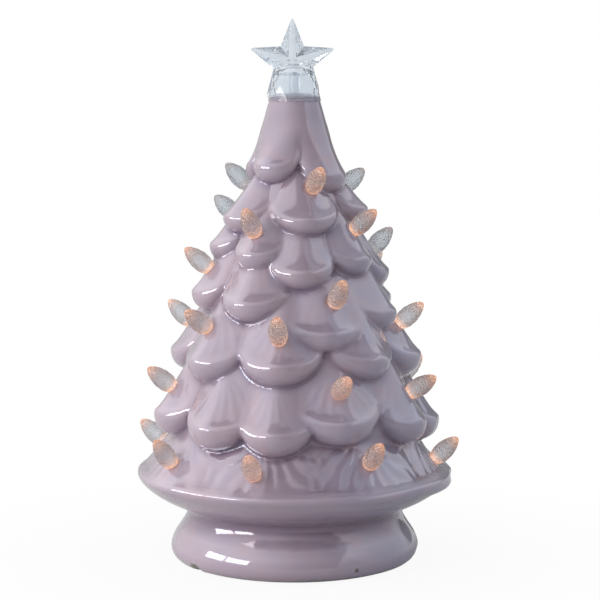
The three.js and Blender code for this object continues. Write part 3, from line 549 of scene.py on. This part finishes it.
bulb_finish = lit_acrylic()
for number, (foot, axis, angle, ring) in enumerate(bulb_frames, 1):
    level = 0.2 if (ring, angle) in DIM_BULBS else 1.0
    name = f"bulb_{number:02d}"
    make_piece(bulb_mesh(foot, axis, level), name + "_pebbled", bulb_finish, "tree", [name])

# %% [markdown]
# The star topper is one clear moulding: a five-point star with a ridge along each arm, on a bell cut in
# diamond facets, with a peg that drops into the tip's hole. The bell stands over the glazed dome. Each is
# a simple closed shape, and exact Booleans join them, because a moulding has no inner walls.

# %% Star
STAR_CENTRE, STAR_REACH, STAR_NOTCH, STAR_HALF_DEPTH, STAR_EDGE = 327.6, 29.9, 12.9, 8.5, 0.8
STAR_BLUNT, STAR_ASIDE = 3, -1.4
BELL = [[17.3, 302.6], [16.5, 307.8], [15.5, 313], [13.9, 319], [12, 325]]
BELL_SIDES, BELL_WALL, MOUTH_DROP, CEILING_DROP = 14, 1.6, 1.5, 4
PEG, PEG_SIDES = [[0, 296.8], [3.1, 296.8], [3.4, 297.2], [3.4, 324], [0, 324]], 24


def as_mesh(bm, name):
    bmesh.ops.recalc_face_normals(bm, faces=bm.faces)
    data = bpy.data.meshes.new(name)
    bm.to_mesh(data)
    bm.free()
    return data


def star_body():
    bm = bmesh.new()
    bmesh.ops.create_circle(bm, cap_ends=True, segments=10, radius=STAR_REACH * MM)
    bm.verts.ensure_lookup_table()
    start = math.pi / 2
    for vertex in bm.verts:
        turn = (math.atan2(vertex.co.y, vertex.co.x) - start) / (math.pi / 5)
        if round(turn) % 2:
            vertex.co *= STAR_NOTCH / STAR_REACH
    bmesh.ops.rotate(bm, verts=bm.verts, cent=(0, 0, 0), matrix=Matrix.Rotation(math.pi / 2, 3, "X"))
    front = bm.faces[:]
    back = bmesh.ops.extrude_face_region(bm, geom=front)["geom"]
    back_verts = [g for g in back if isinstance(g, bmesh.types.BMVert)]
    bmesh.ops.translate(bm, verts=back_verts, vec=(0, STAR_EDGE * MM, 0))
    bmesh.ops.translate(bm, verts=bm.verts, vec=(0, -STAR_EDGE / 2 * MM, 0))
    tips = [edge for edge in bm.edges if abs(edge.verts[0].co.y - edge.verts[1].co.y) > STAR_EDGE / 2 * MM
            and edge.verts[0].co.length > (STAR_NOTCH + STAR_REACH) / 2 * MM]
    bmesh.ops.bevel(bm, geom=tips, offset=STAR_BLUNT * MM, affect="EDGES", segments=3, profile=0.5,
                    material=-1)
    caps = [face for face in bm.faces if len(face.verts) > 4]
    for vertex in bmesh.ops.poke(bm, faces=caps)["verts"]:
        vertex.co.y = math.copysign(STAR_HALF_DEPTH * MM, vertex.co.y)
    bmesh.ops.translate(bm, verts=bm.verts, vec=(STAR_ASIDE * MM, 0, STAR_CENTRE * MM))
    return as_mesh(bm, "star_body")


def faceted_bell(profile, name):
    rings = [[0, profile[0][1]], *profile, [0, profile[-1][1] + 3]]
    bm = spun(rings, BELL_SIDES)
    heights = {round(z, 3): k for k, (_, z) in enumerate(profile)}
    for vertex in bm.verts:
        k = heights.get(round(vertex.co.z / MM, 3), 0)
        if k % 2:
            vertex.co = Matrix.Rotation(math.pi / BELL_SIDES, 3, "Z") @ vertex.co
    bmesh.ops.triangulate(bm, faces=bm.faces)
    return as_mesh(bm, name)


bell = faceted_bell(BELL, "bell")
hollow_profile = [[r - BELL_WALL, z] for r, z in BELL]
hollow_profile[0][1] -= MOUTH_DROP
hollow_profile[-1][1] -= CEILING_DROP
hollow = faceted_bell(hollow_profile, "bell_hollow")
peg = as_mesh(spun(PEG, PEG_SIDES), "peg")
star = cut_mesh(star_body(), bell, "UNION")
star = cut_mesh(star, hollow)
star = cut_mesh(star, peg, "UNION")


def clear_acrylic():
    material, tree = new_material("clear_injection_moulded_acrylic")
    where = add(tree, "TexCoord").outputs["Object"]
    flow = add(tree, "TexNoise", Vector=where, Scale=120.0, Detail=2.0).outputs["Fac"]
    normal = add(tree, "Bump", Height=flow, Distance=0.0001, Strength=0.35).outputs["Normal"]
    thick_tint = ramp(tree, flow, [(0.3, "#D2DAE3"), (0.7, "#DFE5EB")])
    climb = add(tree, "SeparateXYZ", Vector=where).outputs["Z"]
    thin_wall = add(tree, "MapRange", Value=climb, From_Min=0.319, From_Max=0.325, To_Min=0.85,
                    To_Max=0.0).outputs[0]
    tint = add(tree, "Mix", {"data_type": "RGBA"}, i0=thin_wall, i6=thick_tint, i7=linear("#EFF4F9"))
    tint = tint.outputs[2]
    shader = add(tree, "BsdfPrincipled", Base_Color=tint, Roughness=0.06, IOR=1.36, Normal=normal,
                 Transmission_Weight=0.88)
    close_material(tree, shader)
    return material


make_piece(star, "star_topper_clear", clear_acrylic(), "star", ["star_topper"])

# %% [markdown]
# The battery unit keeps its CAD shapes. Each slot gets the finish of its real material: mould texture on
# the plastics, plating on the contacts, a printed wrap on the cells and solder mask on the board. The
# pieces could be modelled again, but they are hidden in the foot and their shapes are right already.

# %% Finishes of the battery unit


def moulded(name, colour, shade, roughness, grain_mm, bump_mm, metallic=0.0):
    material, tree = new_material(name)
    where = add(tree, "TexCoord").outputs["Object"]
    grain = add(tree, "TexNoise", Vector=where, Scale=1 / (grain_mm * MM), Detail=3.0).outputs["Fac"]
    cloud = add(tree, "TexNoise", Vector=where, Scale=60.0, Detail=2.0).outputs["Fac"]
    tint = ramp(tree, cloud, [(0.3, shade), (0.7, colour)])
    rough = add(tree, "MapRange", Value=grain, To_Min=roughness - 0.06, To_Max=roughness + 0.06).outputs[0]
    normal = add(tree, "Bump", Height=grain, Distance=bump_mm * MM, Strength=0.6).outputs["Normal"]
    shader = add(tree, "BsdfPrincipled", Base_Color=tint, Roughness=rough, Metallic=metallic, Normal=normal)
    close_material(tree, shader)
    return material


white_abs = moulded("white_abs_spark_eroded", "#E9E6E1", "#DEDAD4", 0.5, 0.8, 0.03)
black_abs = moulded("black_abs_moulded", "#2B2B2D", "#232325", 0.45, 0.8, 0.03)
silicone = moulded("translucent_white_silicone_bead", "#D8D6D2", "#CAC8C3", 0.6, 3.0, 0.15)
nickel = moulded("nickel_plated_spring_steel", "#B9B9B4", "#A5A5A0", 0.28, 0.5, 0.01, 1.0)
steel = moulded("zinc_plated_screw_steel", "#9C9C9A", "#8A8A88", 0.35, 0.4, 0.01, 1.0)
wrap = moulded("cell_wrap_printed_film", "#5F6E82", "#536074", 0.3, 4.0, 0.02)
solder_mask = moulded("green_solder_mask_on_glass_laminate", "#2F6A44", "#27593A", 0.4, 0.6, 0.02)
lens = moulded("warm_lamp_epoxy_lens", "#FFD9A0", "#F2C98C", 0.15, 5.0, 0.01)
red_pvc = moulded("red_pvc_lead", "#A8261F", "#97201A", 0.45, 2.0, 0.02)

UNIT = {
    "bottom_plate": white_abs, "battery_door": white_abs, "battery_box": white_abs, "plate_bead": silicone,
    "box_screw": steel, "contact_spring": nickel, "contact_plate": nickel, "cell": wrap,
    "switch_housing": black_abs, "switch_knob": black_abs, "timer_chip": black_abs,
    "light_board": solder_mask, "lamp": lens, "switch_lead_01": red_pvc, "switch_lead_02": black_abs,
}
for name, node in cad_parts.items():
    finish = UNIT.get(name) or UNIT.get(name.rstrip("0123456789").rstrip("_"))
    if finish and not node.hide_render:
        for slot in node.material_slots:
            slot.material = finish
print("unit finishes", len(UNIT))

# %% [markdown]
# The studio: a white table that keeps a soft shadow, and a white surround for the camera and for what is
# seen through clear pieces. Glossy glaze shows its room more than its lamps, so the reflections have a
# room of their own: brightest on the left and towards the top, with a dark ceiling and a step of light at
# the far right. A split softbox stands on the left and a broad, faintly blue panel on the right.

# %% Studio


def seen_directly(tree):
    """1 for what the camera sees, also through clear pieces, and 0 for light and reflections."""
    path = add(tree, "LightPath")
    return add(tree, "Math", {"operation": "MAXIMUM"}, i0=path.outputs["Is Camera Ray"],
               i1=path.outputs["Is Transmission Ray"]).outputs[0]


def floor():
    bm = bmesh.new()
    bmesh.ops.create_grid(bm, x_segments=2, y_segments=2, size=6)
    data = bpy.data.meshes.new("floor")
    bm.to_mesh(data)
    bm.free()
    sheet = bpy.data.objects.new("floor", data)
    bpy.context.scene.collection.objects.link(sheet)
    material, tree = new_material("white_table")
    where = add(tree, "TexCoord").outputs["Object"]
    away = add(tree, "VectorMath", {"operation": "LENGTH"}, i0=where).outputs["Value"]
    far = add(tree, "MapRange", Value=away, From_Min=0.08, From_Max=0.3, To_Min=0.93).outputs[0]
    far = add(tree, "Math", {"operation": "MULTIPLY"}, i0=far, i1=seen_directly(tree)).outputs[0]
    table = add(tree, "BsdfDiffuse", Color=linear("#D2D2D2"))
    glow = add(tree, "Emission", Color=(1, 1, 1, 1), Strength=1.0)
    close_material(tree, add(tree, "MixShader", i0=far, i1=table.outputs[0], i2=glow.outputs[0]))
    data.materials.append(material)


def softbox(name, place, size, power, aim=(0, 0, 0.16), colour=(1, 1, 1)):
    light = bpy.data.lights.new(name, "AREA")
    light.shape, (light.size, light.size_y) = "RECTANGLE", size
    light.energy, light.color = power, colour
    lamp = bpy.data.objects.new(name, light)
    bpy.context.scene.collection.objects.link(lamp)
    lamp.location = place
    lamp.rotation_euler = (Vector(aim) - Vector(place)).to_track_quat("-Z", "Y").to_euler()
    lamp.visible_camera = False


def surround():
    world = bpy.data.worlds.new("studio")
    bpy.context.scene.world = world
    world.use_nodes = True
    tree = world.node_tree
    tree.nodes.clear()
    direction = add(tree, "SeparateXYZ", Vector=add(tree, "TexCoord").outputs["Generated"])
    height = add(tree, "MapRange", Value=direction.outputs["Z"], From_Min=-1.0, From_Max=1.0).outputs[0]
    room = ramp(tree, height, [(0.0, 0.46), (0.49, 0.46), (0.52, 0.3), (0.65, 0.4), (0.8, 0.8), (0.94, 0.75),
                               (0.952, 0.045)])
    across = add(tree, "MapRange", Value=direction.outputs["X"], From_Min=-1.0, From_Max=1.0).outputs[0]
    sides = ramp(tree, across, [(0.0, 1.0), (0.2, 0.85), (0.5, 0.42), (0.7, 0.28), (0.815, 0.24),
                                (0.83, 0.7), (1.0, 0.5)])
    room = add(tree, "Mix", {"data_type": "RGBA", "blend_type": "MULTIPLY"}, i0=1.0, i6=room, i7=sides)
    room = room.outputs[2]
    white = add(tree, "Background", Color=(1, 1, 1, 1), Strength=1.0)
    grey = add(tree, "Background", Color=room, Strength=2.4)
    mixed = add(tree, "MixShader", i0=seen_directly(tree), i1=grey.outputs[0], i2=white.outputs[0])
    add(tree, "OutputWorld", Surface=mixed.outputs[0])


def around(heading, rise, distance):
    """A place seen from the tree at a compass heading and an elevation in degrees."""
    turn, lift = math.radians(heading), math.radians(rise)
    level = distance * math.cos(lift)
    return (level * math.sin(turn), -level * math.cos(turn), 0.16 + distance * math.sin(lift))


floor()
surround()
softbox("left_pane_near", around(-54, 12, 1.2), (0.46, 0.3), 3.7)
softbox("left_pane_far", around(-79, 12, 1.2), (0.46, 0.3), 3.7)
softbox("right_panel", around(98, 34, 1.3), (2.0, 2.0), 3.6, colour=(0.74, 0.81, 1.0))

camera_data = bpy.data.cameras.new("camera")
camera = bpy.data.objects.new("camera", camera_data)
bpy.context.scene.collection.objects.link(camera)
camera.location = (0, -1.35, 0.325)
camera.rotation_euler = (math.radians(90 - 6.471), 0, 0)
camera_data.sensor_width, camera_data.lens = 36, 123.57
camera_data.shift_x = 0.0092
camera_data.clip_start = 0.05
bpy.context.scene.camera = camera
bpy.context.scene.view_settings.view_transform = "Standard"
print("lights", len(bpy.data.lights), "lens", round(camera_data.lens, 2))
